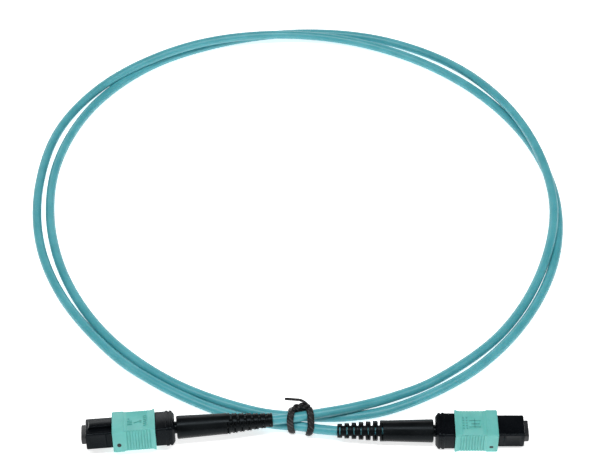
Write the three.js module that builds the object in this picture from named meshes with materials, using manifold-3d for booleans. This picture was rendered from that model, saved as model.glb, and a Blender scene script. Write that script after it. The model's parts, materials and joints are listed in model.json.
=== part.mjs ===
// A multi-fibre patch cord: two push-pull connectors on one round cable, which lies in two loops
// and is held by a twist tie. Millimetres, +Z up. The origin is under the middle of the two
// connectors, on the surface that they lie on.
import * as THREE from "three";
import { mergeVertices } from "three/addons/utils/BufferGeometryUtils.js";
import Module from "manifold-3d";

const wasm = await Module();
wasm.setup();

// Driving dimensions.

const cable = { diameter: 3.0, sides: 8, steps: 90 };

const boot = {
  length: 29.1,
  ribs: 6,
  ribPitch: 2.15,
  ribWidth: 1.5,
  coreRadius: 1.8,
  tipRadius: 2.15,
  ribEndRadius: 3.05,
  barrelStart: 12.9,
  barrelRadius: [3.2, 3.55],
  endChamfer: 0.35,
  tipBore: 1.53,
  ringBore: 2.95,
  ringBoreStart: 15.2,
};

const ring = { start: 17.2, end: 28.4, inner: 2.45, outer: 2.8 };
const yarn = { start: 16.4, end: 28.0, inner: 2.0, outer: 2.3 };
const tail = { start: 0.3, end: 15.6, bore: 0.9 };

const push = {
  stemStart: 16.0,
  stemRadius: 1.85,
  stemOverlap: 0.5,
  boreRadius: 1.25,
  boreOverlap: 0.1,
  collar: { start: 29.7, end: 32.4, width: 9.4, height: 7.2, corner: 0.8 },
  block: { start: 32.4, end: 35.5, width: 9.0, height: 6.6, corner: 0.6 },
  seat: { start: 35.5, end: 38.6, width: 6.9, height: 4.1 },
  leg: { end: 46.8, width: 4.6, thickness: 0.42, offset: 1.72 },
};

const ferruleSpring = {
  start: 39.0,
  end: 45.4,
  halfWidth: 2.75,
  halfHeight: 1.0,
  wire: 0.42,
  turns: 5,
  stepsPerTurn: 16,
  sides: 5,
};

const keeper = { start: 45.8, end: 47.2, width: 6.4, height: 2.8, corner: 0.4 };
const ferrule = {
  face: 57.9,
  bodyWidth: 6.4,
  bodyHeight: 2.5,
  corner: 0.3,
  flangeStart: 49.9,
  flangeEnd: 52.1,
  flangeWidth: 7.0,
  flangeHeight: 3.0,
  cavityDepth: 3.6,
  cavityWidth: 4.4,
  cavityHeight: 1.5,
  pinPitch: 4.6,
  pinRadius: 0.35,
  pinDepth: 5.2,
};
const ferruleBoot = {
  start: 47.3,
  end: 53.0,
  width: 4.1,
  height: 1.2,
  corner: 0.25,
  boreHeight: 0.6,
};
const ribbon = { start: 31.0, end: 53.3, width: 3.1, height: 0.32 };
const ribbonSlot = { width: 3.5, height: 0.7 };

// How far a cut runs past the solid that it opens.
const overcut = 1;

const housing = {
  start: 35.8,
  end: 56.5,
  width: 7.9,
  height: 5.9,
  corner: 0.5,
  cavityWidth: 7.2,
  cavityHeight: 4.5,
  frontWall: 2.6,
  mouthWidth: 6.7,
  mouthHeight: 2.8,
  mouthCorner: 0.3,
};
const key = {
  start: 48.7,
  end: 56.1,
  width: 3.0,
  height: 1.0,
  corner: 0.25,
  root: 1.0,
  chamfer: 0.9,
  chamferAngle: 40,
};

const coupling = {
  start: 35.5,
  end: 48.5,
  width: 10.3,
  height: 7.95,
  corner: 0.5,
  boreWidth: 8.3,
  boreHeight: 6.3,
  boreCorner: 0.4,
  rearBore: { width: 9.2, height: 6.8, depth: 3.0, corner: 0.5 },
  band: 3.5,
  bandStep: 0.16,
  rearLip: 0.7,
  ribs: 9,
  ribSetback: 1.4,
  ribPitch: 0.86,
  ribDepth: 0.22,
  ribHeight: 5.9,
};

const sideSpring = {
  start: 40.9,
  end: 46.1,
  offset: 3.95,
  radius: 0.36,
  wire: 0.18,
  turns: 8,
  stepsPerTurn: 8,
  sides: 4,
  grooveDepth: 0.5,
  grooveHeight: 1.3,
  grooveRun: 1.3,
  clearance: 0.12,
};

// The tie goes twice round the three passes of cable, then its ends are twisted together.
// Each ring lists the passes' centres in it as [y, z], counterclockwise seen from +X.
const tie = {
  width: 1.9,
  clearance: 0.25,
  thickness: 0.85,
  rings: [
    { x: -4.2, passes: [[4.02, 2.68], [7.84, 2.63], [4.57, 5.75]] },
    { x: 1.6, passes: [[2.72, 3.18], [7.37, 2.7], [5.57, 5.77]] },
  ],
  wire: 0.5,
  twist: [
    [-4.2, 5.37, 8.0],
    [-2.8, 6.37, 8.5],
    [-0.9, 6.97, 8.7],
    [0.8, 6.97, 8.4],
    [1.6, 6.37, 8.0],
  ],
  end: [
    [-1.5, 6.97, 8.6],
    [-0.2, 7.47, 8.9],
    [-1.8, 8.17, 9.3],
    [-4, 8.47, 9.2],
    [-5.9, 8.67, 8.9],
  ],
};

// Where each connector lies: the tip of its boot, and how it is turned. The left one is
// lifted at its boot, because the cable passes below it, and rolled onto its coupling's edge.
const rad = THREE.MathUtils.degToRad;
const leftTurn = { yaw: rad(184.9), pitch: rad(0.95), roll: rad(12.5) };
const rightTurn = { yaw: 0, pitch: 0, roll: Math.PI };
const leftHalfHeight =
  (coupling.height / 2 - coupling.corner) * Math.cos(leftTurn.roll) +
  (coupling.width / 2 - coupling.corner) * Math.sin(leftTurn.roll) +
  coupling.corner;
const leftTip = new THREE.Vector3(
  -9.8,
  3.59,
  coupling.end * Math.sin(leftTurn.pitch) + leftHalfHeight * Math.cos(leftTurn.pitch),
);
const rightTip = new THREE.Vector3(9.82, 0.77, coupling.height / 2);

// The cable's route from the left boot to the right boot: two loops laid out by hand.
const route = [
  [-9.95, 3.58, 5.7],
  [-4.1, 4.27, 5.8],
  [1.9, 5.57, 5.8],
  [14.9, 9.37, 4.8],
  [27.9, 15.67, 2.5],
  [40.4, 22.67, 1.65],
  [61.9, 41.67, 1.65],
  [76.4, 66.67, 2.4],
  [83.4, 94.67, 4.3],
  [80.4, 123.17, 4.9],
  [69.9, 149.67, 4.4],
  [52.4, 172.67, 2.1],
  [26.9, 186.67, 1.55],
  [-1.6, 190.17, 1.5],
  [-30.1, 184.67, 1.5],
  [-55.6, 171.67, 1.5],
  [-74.6, 150.17, 1.5],
  [-84.6, 122.67, 1.5],
  [-85.1, 94.17, 1.5],
  [-77.6, 66.17, 1.5],
  [-62.6, 41.17, 1.5],
  [-41.1, 22.17, 1.5],
  [-15.1, 9.97, 2.1],
  [-1.1, 7.27, 2.95],
  [13.9, 8.07, 2],
  [27.9, 11.87, 1.5],
  [52.4, 26.67, 1.5],
  [70.9, 48.67, 1.5],
  [82.4, 75.67, 1.5],
  [84.9, 104.17, 1.5],
  [77.9, 132.17, 1.5],
  [62.4, 156.67, 1.5],
  [40.4, 175.17, 1.6],
  [13.4, 185.67, 2.4],
  [-15.6, 186.17, 4],
  [-43.1, 178.17, 5],
  [-68.6, 162.17, 3.5],
  [-84.6, 140.17, 1.75],
  [-90.1, 111.67, 1.55],
  [-87.6, 82.67, 1.5],
  [-77.6, 57.17, 1.5],
  [-59.6, 33.07, 1.5],
  [-47.6, 22.97, 1.5],
  [-36.2, 15.67, 1.5],
  [-23.8, 9.57, 1.5],
  [-10.1, 5.07, 2.1],
  [-1.1, 3.32, 2.95],
  [3.9, 1.87, 3.45],
  [7, 1.19, 3.8],
  [9.9, 0.77, 3.975],
];

// Materials.

const finish = (color, roughness, metalness = 0) =>
  new THREE.MeshStandardMaterial({ color, roughness, metalness });

const aquaJacket = finish(0x61b1be, 0.45);
const aquaPlastic = finish(0x6cc0b6, 0.5);
const blackPlastic = finish(0x17181a, 0.4);
const blackRubber = finish(0x1b1c1e, 0.6);
const ferruleResin = finish(0x2c2d30, 0.55);
const springSteel = finish(0xb9bcc0, 0.3, 1);
const nickel = finish(0xc8c6bf, 0.35, 1);
const aramid = finish(0xd9b84a, 0.8);
const fibreCoat = finish(0x7fc6c9, 0.5);

// Solids.

// A geometry as a manifold solid, with its shared vertices merged.
function solid(geometry) {
  const bare = geometry.index ? geometry.toNonIndexed() : geometry.clone();
  bare.deleteAttribute("normal");
  bare.deleteAttribute("uv");
  const merged = mergeVertices(bare, 1e-4);
  return new wasm.Manifold(
    new wasm.Mesh({
      numProp: 3,
      vertProperties: merged.attributes.position.array,
      triVerts: new Uint32Array(merged.index.array),
    }),
  );
}

function geometryOf(made) {
  const mesh = made.getMesh();
  const geometry = new THREE.BufferGeometry();
  geometry.setAttribute("position", new THREE.BufferAttribute(mesh.vertProperties, 3));
  geometry.setIndex(new THREE.BufferAttribute(mesh.triVerts, 1));
  const flat = geometry.toNonIndexed();
  flat.computeVertexNormals();
  return flat;
}

// A centred rectangle with rounded corners, for extrusion along the connector.
function section(width, height, corner = 0, arcSteps = 3) {
  const points = [];
  for (const [right, top, from] of [
    [1, -1, -90],
    [1, 1, 0],
    [-1, 1, 90],
    [-1, -1, 180],
  ]) {
    for (let i = 0; i <= (corner ? arcSteps : 0); i++) {
      const angle = rad(from + (90 * i) / arcSteps);
      const x = right * (width / 2 - corner) + corner * Math.cos(angle);
      const y = top * (height / 2 - corner) + corner * Math.sin(angle);
      points.push(new THREE.Vector2(x, y));
    }
  }
  return new THREE.Shape(points);
}

// A bar along X from start to end with the given section (width along Y, height along Z).
function bar(start, end, shape) {
  const geometry = new THREE.ExtrudeGeometry(shape, {
    depth: end - start,
    bevelEnabled: false,
    curveSegments: 8,
  });
  const along = new THREE.Matrix4().makeBasis(
    new THREE.Vector3(0, 1, 0),
    new THREE.Vector3(0, 0, 1),
    new THREE.Vector3(1, 0, 0),
  );
  return geometry.applyMatrix4(along.setPosition(start, 0, 0));
}

function block(start, end, width, height, corner = 0) {
  return solid(bar(start, end, section(width, height, corner)));
}

function moved(made, y, z) {
  return made.translate([0, y, z]);
}

// A body of revolution about X; the profile lists [x, radius].
function turned(profile, segments = 32) {
  const points = profile.map(([x, radius]) => new THREE.Vector2(radius, x));
  const geometry = new THREE.LatheGeometry(points, segments);
  return geometry.rotateZ(-Math.PI / 2);
}

function tube(start, end, inner, outer, segments = 32) {
  return turned(
    [
      [start, inner],
      [start, outer],
      [end, outer],
      [end, inner],
      [start, inner],
    ],
    segments,
  );
}

function rod(start, end, radius, segments = 24) {
  const geometry = new THREE.CylinderGeometry(radius, radius, end - start, segments);
  return geometry.rotateZ(-Math.PI / 2).translate((start + end) / 2, 0, 0);
}

// A coil spring along X, round or oval, with an open flat cut at each end.
function coil(spring, halfWidth, halfHeight) {
  const path = new THREE.Curve();
  const length = spring.end - spring.start - spring.wire;
  path.getPoint = (t, target = new THREE.Vector3()) => {
    const angle = 2 * Math.PI * spring.turns * t;
    return target.set(
      spring.start + spring.wire / 2 + length * t,
      halfWidth * Math.cos(angle),
      halfHeight * Math.sin(angle),
    );
  };
  return new THREE.ExtrudeGeometry(polygon(spring.wire / 2, spring.sides), {
    steps: spring.turns * spring.stepsPerTurn,
    extrudePath: path,
    bevelEnabled: false,
  });
}

// A regular polygon, used as the section of wires and of the cable.
function polygon(radius, sides) {
  const points = [];
  for (let i = 0; i < sides; i++) {
    const angle = (2 * Math.PI * (i + 0.5)) / sides;
    points.push(new THREE.Vector2(radius * Math.cos(angle), radius * Math.sin(angle)));
  }
  return new THREE.Shape(points);
}

// A round bar along a smooth curve through the points.
function swept(points, radius, sides, steps) {
  const path = new THREE.CatmullRomCurve3(
    points.map((point) => new THREE.Vector3(...point)),
    false,
    "centripetal",
  );
  const shape = polygon(radius, sides);
  return new THREE.ExtrudeGeometry(shape, { steps, extrudePath: path, bevelEnabled: false });
}

// The connector's pieces, along +X from the boot's tip, key up.

function makeBoot() {
  const profile = [[0, boot.tipBore]];
  for (let i = 0; i < boot.ribs; i++) {
    const start = i * boot.ribPitch;
    const end = start + boot.ribWidth;
    const grow = (boot.ribEndRadius - boot.tipRadius) / (boot.ribs - 1);
    const radius = boot.tipRadius + grow * i;
    profile.push([start, radius], [end, radius]);
    profile.push([end, boot.coreRadius], [(i + 1) * boot.ribPitch, boot.coreRadius]);
  }
  const [rear, front] = boot.barrelRadius;
  profile.push([boot.barrelStart, rear]);
  profile.push([boot.length - boot.endChamfer, front]);
  profile.push([boot.length, front - boot.endChamfer]);
  profile.push([boot.length, boot.ringBore]);
  profile.push([boot.ringBoreStart, boot.ringBore]);
  profile.push([boot.ringBoreStart, boot.tipBore]);
  profile.push([0, boot.tipBore]);
  return turned(profile);
}

function makeSpringPush() {
  const { collar, block: rear, seat, leg } = push;
  let made = solid(rod(push.stemStart, collar.start + push.stemOverlap, push.stemRadius))
    .add(block(collar.start, collar.end, collar.width, collar.height, collar.corner))
    .add(block(rear.start, rear.end, rear.width, rear.height, rear.corner))
    .add(block(seat.start, seat.end, seat.width, seat.height));
  for (const side of [-1, 1]) {
    const arm = block(seat.start, leg.end, leg.width, leg.thickness);
    made = made.add(moved(arm, 0, side * leg.offset));
  }
  return geometryOf(
    made
      .subtract(solid(rod(push.stemStart - overcut, collar.start + push.boreOverlap, push.boreRadius)))
      .subtract(block(collar.start, seat.end + overcut, ribbonSlot.width, ribbonSlot.height)),
  );
}

function makeKeeper() {
  return geometryOf(
    block(keeper.start, keeper.end, keeper.width, keeper.height, keeper.corner).subtract(
      block(keeper.start - overcut, keeper.end + overcut, ribbonSlot.width, ribbonSlot.height),
    ),
  );
}

function makeFerruleBoot() {
  const { start, end, width, height, corner, boreHeight } = ferruleBoot;
  const bore = block(start - overcut, end + overcut, ribbonSlot.width, boreHeight);
  return geometryOf(block(start, end, width, height, corner).subtract(bore));
}

function makeFerrule() {
  const { flangeStart, flangeEnd, face, corner, bodyWidth, bodyHeight } = ferrule;
  const flange = block(flangeStart, flangeEnd, ferrule.flangeWidth, ferrule.flangeHeight, corner);
  let made = block(flangeStart, face, bodyWidth, bodyHeight, corner).add(flange);
  const cavityEnd = flangeStart + ferrule.cavityDepth;
  made = made.subtract(
    block(flangeStart - overcut, cavityEnd, ferrule.cavityWidth, ferrule.cavityHeight),
  );
  for (const side of [-1, 1]) {
    const pin = rod(face - ferrule.pinDepth, face + overcut, ferrule.pinRadius, 12);
    made = made.subtract(moved(solid(pin), (side * ferrule.pinPitch) / 2, 0));
  }
  return geometryOf(made);
}

function makeHousing() {
  const { start, end, width, height, corner, frontWall } = housing;
  const raised = block(key.start, key.end, key.width, key.height + key.root, key.corner);
  const ramp = new THREE.BoxGeometry(key.chamfer * 2, key.width + overcut, key.chamfer);
  ramp.rotateY(rad(key.chamferAngle));
  ramp.translate(key.end + key.chamfer / 4, 0, height / 2 + key.height);
  let made = block(start, end, width, height, corner)
    .add(moved(raised, 0, (height + key.height - key.root) / 2))
    .subtract(solid(ramp))
    .subtract(block(start - overcut, end - frontWall, housing.cavityWidth, housing.cavityHeight))
    .subtract(
      block(start, end + overcut, housing.mouthWidth, housing.mouthHeight, housing.mouthCorner),
    );
  for (const side of [-1, 1]) {
    const groove = block(
      sideSpring.start - sideSpring.clearance,
      sideSpring.end + sideSpring.grooveRun,
      2 * sideSpring.grooveDepth,
      sideSpring.grooveHeight,
    );
    made = made.subtract(moved(groove, (side * width) / 2, 0));
  }
  return geometryOf(made);
}

function makeCoupling() {
  const { start, end, width, height, corner, bandStep, rearBore } = coupling;
  const mainWidth = width - 2 * bandStep;
  const mainHeight = height - 2 * bandStep;
  const rearEnd = start + rearBore.depth;
  const springReach = sideSpring.offset + sideSpring.radius + sideSpring.wire / 2;
  const pocketEnd = sideSpring.end + sideSpring.clearance;
  const pocketWidth = 2 * (springReach + sideSpring.clearance);
  let made = block(start, end, mainWidth, mainHeight, corner)
    .add(block(end - coupling.band, end, width, height, corner))
    .add(block(start, start + coupling.rearLip, width, height, corner))
    .subtract(
      block(
        start - overcut,
        end + overcut,
        coupling.boreWidth,
        coupling.boreHeight,
        coupling.boreCorner,
      ),
    )
    .subtract(block(start - overcut, rearEnd, rearBore.width, rearBore.height, rearBore.corner))
    .subtract(block(start, pocketEnd, pocketWidth, sideSpring.grooveHeight));
  const ribStart = start + coupling.ribSetback;
  for (const side of [-1, 1]) {
    for (let i = 0; i < coupling.ribs; i++) {
      const at = ribStart + i * coupling.ribPitch;
      const groove = block(at, at + coupling.ribPitch / 2, 2 * coupling.ribDepth, coupling.ribHeight);
      made = made.subtract(moved(groove, (side * mainWidth) / 2, 0));
    }
  }
  return geometryOf(made);
}

function makeSideSpring(side) {
  const made = coil(sideSpring, sideSpring.radius, sideSpring.radius);
  return made.translate(0, side * sideSpring.offset, 0);
}

// The twist tie.

// The line that a band takes when pulled round circles of one radius.
function wrapped(outline, passes, radius) {
  passes.forEach(([y, z], i) => {
    const [beforeY, beforeZ] = passes.at(i - 1);
    const [afterY, afterZ] = passes[(i + 1) % passes.length];
    const from = Math.atan2(z - beforeZ, y - beforeY) - Math.PI / 2;
    const to = Math.atan2(afterZ - z, afterY - y) - Math.PI / 2;
    outline.absarc(y, z, radius, from, to, false);
  });
  return outline;
}

function makeTie() {
  const inner = cable.diameter / 2 + tie.clearance;
  let made;
  for (const { x, passes } of tie.rings) {
    const shape = wrapped(new THREE.Shape(), passes, inner + tie.thickness);
    shape.holes.push(wrapped(new THREE.Path(), passes, inner));
    const ringSolid = solid(bar(x - tie.width / 2, x + tie.width / 2, shape));
    made = made ? made.add(ringSolid) : ringSolid;
  }
  for (const points of [tie.twist, tie.end]) {
    made = made.add(solid(swept(points, tie.wire, 6, 4 * (points.length - 1))));
  }
  return geometryOf(made);
}

// Assembly.

const root = new THREE.Group();

function addMesh(parent, name, geometry, material) {
  const mesh = new THREE.Mesh(geometry, material);
  mesh.name = name;
  parent.add(mesh);
}

function makeConnector(side, tip, turn) {
  const group = new THREE.Group();
  group.position.copy(tip);
  group.rotation.set(turn.roll, turn.pitch, turn.yaw, "ZYX");
  const add = (name, geometry, material) => addMesh(group, `${side}_${name}`, geometry, material);
  add("boot", makeBoot(), blackRubber);
  add("cable_tail", tube(tail.start, tail.end, tail.bore, cable.diameter / 2, 24), aquaJacket);
  add("crimp_ring", tube(ring.start, ring.end, ring.inner, ring.outer), nickel);
  add("strength_yarn", tube(yarn.start, yarn.end, yarn.inner, yarn.outer), aramid);
  add("spring_push", makeSpringPush(), blackPlastic);
  const { halfWidth, halfHeight } = ferruleSpring;
  add("ferrule_spring", coil(ferruleSpring, halfWidth, halfHeight), springSteel);
  add("pin_keeper", makeKeeper(), blackPlastic);
  add("ferrule_boot", makeFerruleBoot(), blackRubber);
  add("ferrule", makeFerrule(), ferruleResin);
  const { start, end, width, height } = ribbon;
  add("fibre_ribbon", bar(start, end, section(width, height)), fibreCoat);
  add("inner_housing", makeHousing(), blackPlastic);
  add("coupling", makeCoupling(), aquaPlastic);
  add("coupling_spring_a", makeSideSpring(1), springSteel);
  add("coupling_spring_b", makeSideSpring(-1), springSteel);
  root.add(group);
}

makeConnector("left", leftTip, leftTurn);
makeConnector("right", rightTip, rightTurn);
addMesh(root, "cable_jacket", swept(route, cable.diameter / 2, cable.sides, cable.steps), aquaJacket);
addMesh(root, "twist_tie", makeTie(), blackPlastic);

export default root;
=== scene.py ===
import json
import math
import bpy
import bmesh
from mathutils import Matrix, Vector


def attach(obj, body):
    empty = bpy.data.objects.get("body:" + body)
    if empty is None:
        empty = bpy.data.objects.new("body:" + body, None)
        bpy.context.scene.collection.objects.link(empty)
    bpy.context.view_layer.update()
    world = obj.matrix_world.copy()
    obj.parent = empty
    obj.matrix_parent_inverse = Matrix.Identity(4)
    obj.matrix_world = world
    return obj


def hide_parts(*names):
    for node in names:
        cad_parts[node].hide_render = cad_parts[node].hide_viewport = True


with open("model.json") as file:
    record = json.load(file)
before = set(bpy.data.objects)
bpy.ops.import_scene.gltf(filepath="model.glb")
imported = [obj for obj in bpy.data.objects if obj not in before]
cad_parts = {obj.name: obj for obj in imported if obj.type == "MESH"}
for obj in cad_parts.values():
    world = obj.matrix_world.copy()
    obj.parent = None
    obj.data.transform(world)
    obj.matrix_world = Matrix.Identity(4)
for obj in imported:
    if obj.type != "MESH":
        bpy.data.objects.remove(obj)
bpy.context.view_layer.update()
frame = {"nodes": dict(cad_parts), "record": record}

# a two-ended multi-fibre patch cord on a pale table, metres, z up
# connector pieces are drawn in millimetres along +x from the boot's tip, key up, then placed

mm = 0.001
mounts = {m["name"]: m for m in frame["record"]["mounts"]}
print("frame loaded:", len(frame["nodes"]), "parts")


# camera first, so that the cord's spread can be judged
view = {"place": (-0.00146, -0.40443, 0.501), "tilt": 44.5, "lens": 126.4, "sensor": 36.0, "near": 0.02}

cameraData = bpy.data.cameras.new("camera")
cameraData.lens = view["lens"]
cameraData.sensor_width = view["sensor"]
cameraData.sensor_fit = "HORIZONTAL"
cameraData.clip_start = view["near"]
camera = bpy.data.objects.new("camera", cameraData)
camera.location = view["place"]
camera.rotation_euler = (math.radians(view["tilt"]), 0, 0)
bpy.context.scene.collection.objects.link(camera)
bpy.context.scene.camera = camera


# shader effects that several materials share
def newGroup(name, inputs, outputs):
    group = bpy.data.node_groups.new(name, "ShaderNodeTree")
    for label, kind, value in inputs:
        socket = group.interface.new_socket(name=label, in_out="INPUT", socket_type=kind)
        if value is not None:
            socket.default_value = value
    for label, kind in outputs:
        group.interface.new_socket(name=label, in_out="OUTPUT", socket_type=kind)
    return group, group.nodes.new("NodeGroupInput"), group.nodes.new("NodeGroupOutput")


def mathNode(tree, operation, first, second, clamp=False):
    node = tree.nodes.new("ShaderNodeMath")
    node.operation = operation
    node.use_clamp = clamp
    for socket, value in zip(node.inputs, (first, second)):
        if isinstance(value, (int, float)):
            socket.default_value = value
        else:
            tree.links.new(value, socket)
    return node.outputs[0]


def noiseNode(tree, vector, scale, detail=3.0, rough=0.5):
    node = tree.nodes.new("ShaderNodeTexNoise")
    node.inputs["Detail"].default_value = detail
    node.inputs["Roughness"].default_value = rough
    if isinstance(scale, (int, float)):
        node.inputs["Scale"].default_value = scale
    else:
        tree.links.new(scale, node.inputs["Scale"])
    tree.links.new(vector, node.inputs["Vector"])
    return node.outputs["Fac"]


def mapNode(tree, value, low, high, outLow=0.0, outHigh=1.0):
    node = tree.nodes.new("ShaderNodeMapRange")
    for socket, number in zip(node.inputs[1:5], (low, high, outLow, outHigh)):
        socket.default_value = number
    tree.links.new(value, node.inputs[0])
    return node.outputs[0]


def makeMouldGrain():  # the fine spark-eroded grain of moulded parts, with slow flow marks
    group, given, made = newGroup(
        "mouldGrain",
        [("Vector", "NodeSocketVector", None), ("Scale", "NodeSocketFloat", 5000.0)],
        [("Height", "NodeSocketFloat"), ("Tone", "NodeSocketFloat")],
    )
    fine = noiseNode(group, given.outputs["Vector"], given.outputs["Scale"], 2.0, 0.6)
    slowScale = mathNode(group, "MULTIPLY", given.outputs["Scale"], 0.06)
    slow = noiseNode(group, given.outputs["Vector"], slowScale, 4.0, 0.55)
    both = mathNode(group, "ADD", fine, mathNode(group, "MULTIPLY", slow, 0.6))
    group.links.new(both, made.inputs["Height"])
    group.links.new(mapNode(group, slow, 0.35, 0.65), made.inputs["Tone"])
    return group


def makeHandling():  # short hairline scuffs and dust from handling
    group, given, made = newGroup(
        "handlingMarks",
        [("Vector", "NodeSocketVector", None), ("Amount", "NodeSocketFloat", 0.5)],
        [("Scuff", "NodeSocketFloat"), ("Dust", "NodeSocketFloat")],
    )
    stretch = group.nodes.new("ShaderNodeMapping")
    stretch.inputs["Scale"].default_value = (180, 2600, 2600)
    stretch.inputs["Rotation"].default_value = (0.3, 0.2, 0.5)
    group.links.new(given.outputs["Vector"], stretch.inputs["Vector"])
    lines = mapNode(group, noiseNode(group, stretch.outputs[0], 1.0, 2.0), 0.62, 0.7)
    patches = mapNode(group, noiseNode(group, given.outputs["Vector"], 160.0), 0.45, 0.62)
    broken = mathNode(group, "MULTIPLY", lines, patches)
    scuff = mathNode(group, "MULTIPLY", broken, given.outputs["Amount"])
    specks = mapNode(group, noiseNode(group, given.outputs["Vector"], 4200.0, 1.0), 0.66, 0.72)
    dust = mathNode(group, "MULTIPLY", specks, given.outputs["Amount"])
    group.links.new(scuff, made.inputs["Scuff"])
    group.links.new(dust, made.inputs["Dust"])
    return group


mouldGrain = makeMouldGrain()
handling = makeHandling()


def startMaterial(name):
    material = bpy.data.materials.new(name)
    material.use_nodes = True
    tree = material.node_tree
    tree.nodes.clear()
    output = tree.nodes.new("ShaderNodeOutputMaterial")
    shader = tree.nodes.new("ShaderNodeBsdfPrincipled")
    tree.links.new(shader.outputs[0], output.inputs["Surface"])
    place = tree.nodes.new("ShaderNodeTexCoord").outputs["Object"]
    return material, tree, shader, place


def mixColours(tree, factor, first, second):
    node = tree.nodes.new("ShaderNodeMix")
    node.data_type = "RGBA"
    tree.links.new(factor, node.inputs["Factor"])
    for socket, value in ((node.inputs[6], first), (node.inputs[7], second)):
        if isinstance(value, tuple):
            socket.default_value = (*value, 1)
        else:
            tree.links.new(value, socket)
    return node.outputs[2]


def addBump(tree, shader, height, strength, distance):
    bump = tree.nodes.new("ShaderNodeBump")
    bump.inputs["Strength"].default_value = strength
    bump.inputs["Distance"].default_value = distance
    tree.links.new(height, bump.inputs["Height"])
    tree.links.new(bump.outputs[0], shader.inputs["Normal"])


def mouldedMaterial(name, look):  # plastics and rubbers: grain, flow tone, scuffs, dust
    material, tree, shader, place = startMaterial(name)
    grain = tree.nodes.new("ShaderNodeGroup")
    grain.node_tree = mouldGrain
    grain.inputs["Scale"].default_value = look["grain"]
    marks = tree.nodes.new("ShaderNodeGroup")
    marks.node_tree = handling
    marks.inputs["Amount"].default_value = look["marks"]
    for group in (grain, marks):
        tree.links.new(place, group.inputs["Vector"])
    tone = mixColours(tree, grain.outputs["Tone"], look["dark"], look["light"])
    dusty = mixColours(tree, marks.outputs["Dust"], tone, look["dust"])
    tree.links.new(dusty, shader.inputs["Base Color"])
    rough = mathNode(tree, "ADD", mathNode(tree, "MULTIPLY", grain.outputs["Tone"], 0.06), look["rough"])
    worn = mathNode(tree, "ADD", rough, mathNode(tree, "MULTIPLY", marks.outputs["Scuff"], 0.25), True)
    tree.links.new(worn, shader.inputs["Roughness"])
    addBump(tree, shader, grain.outputs["Height"], look["bump"], 0.00003)
    shader.inputs["Specular IOR Level"].default_value = look.get("specular", 0.5)
    shader.inputs["Specular Tint"].default_value = look.get("sheen", (1, 1, 1, 1))
    shader.inputs["Subsurface Weight"].default_value = look.get("glow", 0.0)
    shader.inputs["Subsurface Scale"].default_value = 0.0006
    return material


looks = {
    "jacket": {
        "dark": (0.066, 0.35, 0.405), "light": (0.092, 0.41, 0.47), "dust": (0.35, 0.5, 0.5),
        "rough": 0.34, "grain": 2600.0, "bump": 0.12, "marks": 0.35, "glow": 0.1,
    },
    "coupling": {
        "dark": (0.125, 0.49, 0.45), "light": (0.152, 0.54, 0.5), "dust": (0.4, 0.6, 0.58),
        "rough": 0.42, "grain": 4200.0, "bump": 0.18, "marks": 0.3, "glow": 0.08,
    },
    # a darker aqua that paints shade into the coupling's grooves and onto its raised marks
    "couplingPaintedShade": {
        "dark": (0.085, 0.375, 0.345), "light": (0.11, 0.425, 0.395), "dust": (0.3, 0.5, 0.48),
        "rough": 0.5, "grain": 4200.0, "bump": 0.18, "marks": 0.3, "glow": 0.08,
    },
    "housing": {
        "dark": (0.0016, 0.0022, 0.0032), "light": (0.003, 0.0038, 0.0052), "dust": (0.03, 0.032, 0.036),
        "rough": 0.2, "grain": 3800.0, "bump": 0.08, "marks": 0.4, "specular": 0.11,
        "sheen": (0.78, 0.92, 1.0, 1),
    },
    "boot": {
        "dark": (0.002, 0.0026, 0.003), "light": (0.0036, 0.0044, 0.005), "dust": (0.035, 0.036, 0.038),
        "rough": 0.3, "grain": 3000.0, "bump": 0.2, "marks": 0.5, "specular": 0.12,
        "sheen": (0.78, 0.92, 1.0, 1),
    },
    "ferrule": {
        "dark": (0.014, 0.015, 0.018), "light": (0.022, 0.023, 0.026), "dust": (0.07, 0.07, 0.07),
        "rough": 0.36, "grain": 9000.0, "bump": 0.15, "marks": 0.2, "specular": 0.4,
    },
    "fibreEnds": {
        "dark": (0.32, 0.34, 0.36), "light": (0.5, 0.53, 0.55), "rough": 0.12, "grain": 9000.0,
    },
    "markPaint": {
        "dark": (0.002, 0.003, 0.003), "light": (0.008, 0.009, 0.009), "rough": 0.5, "grain": 6000.0,
        "bump": 0.2,
    },
    "tie": {
        "dark": (0.004, 0.004, 0.005), "light": (0.05, 0.045, 0.047), "rough": (0.62, 0.38),
        "weave": 420.0, "lay": 0.9, "bump": 0.7, "specular": 0.35,
    },
    "spring": {"tint": (0.55, 0.56, 0.58), "rough": 0.28, "grain": 9000.0, "bump": 0.2},
    "crimp": {"tint": (0.66, 0.63, 0.56), "rough": 0.34, "grain": 5000.0, "bump": 0.4},
    "yarn": {
        "dark": (0.42, 0.27, 0.05), "light": (0.78, 0.6, 0.2), "rough": 0.6, "sheen": 0.4, "bump": 0.6,
        "grain": (400, 7000, 7000),
    },
    "ribbon": {"half": 1.5, "rough": 0.35},
}

jacketAqua = mouldedMaterial("jacketAqua", looks["jacket"])
couplingAqua = mouldedMaterial("couplingAqua", looks["coupling"])
couplingPaintedShade = mouldedMaterial("couplingPaintedShade", looks["couplingPaintedShade"])  # darker aqua: painted shade on the groove floors and the raised marks
housingBlack = mouldedMaterial("housingBlack", looks["housing"])
bootRubber = mouldedMaterial("bootRubber", looks["boot"])
ferruleResin = mouldedMaterial("ferruleResin", looks["ferrule"])


def shadeBetween(tree, shader, factor, dark, light):
    tree.links.new(mixColours(tree, factor, dark, light), shader.inputs["Base Color"])


def fibreGlassMaterial(look):  # polished fibre ends
    material, tree, shader, place = startMaterial("fibreEnds")
    glow = mapNode(tree, noiseNode(tree, place, look["grain"], 1.0), 0.3, 0.7)
    shadeBetween(tree, shader, glow, look["dark"], look["light"])
    shader.inputs["Roughness"].default_value = look["rough"]
    return material


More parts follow.
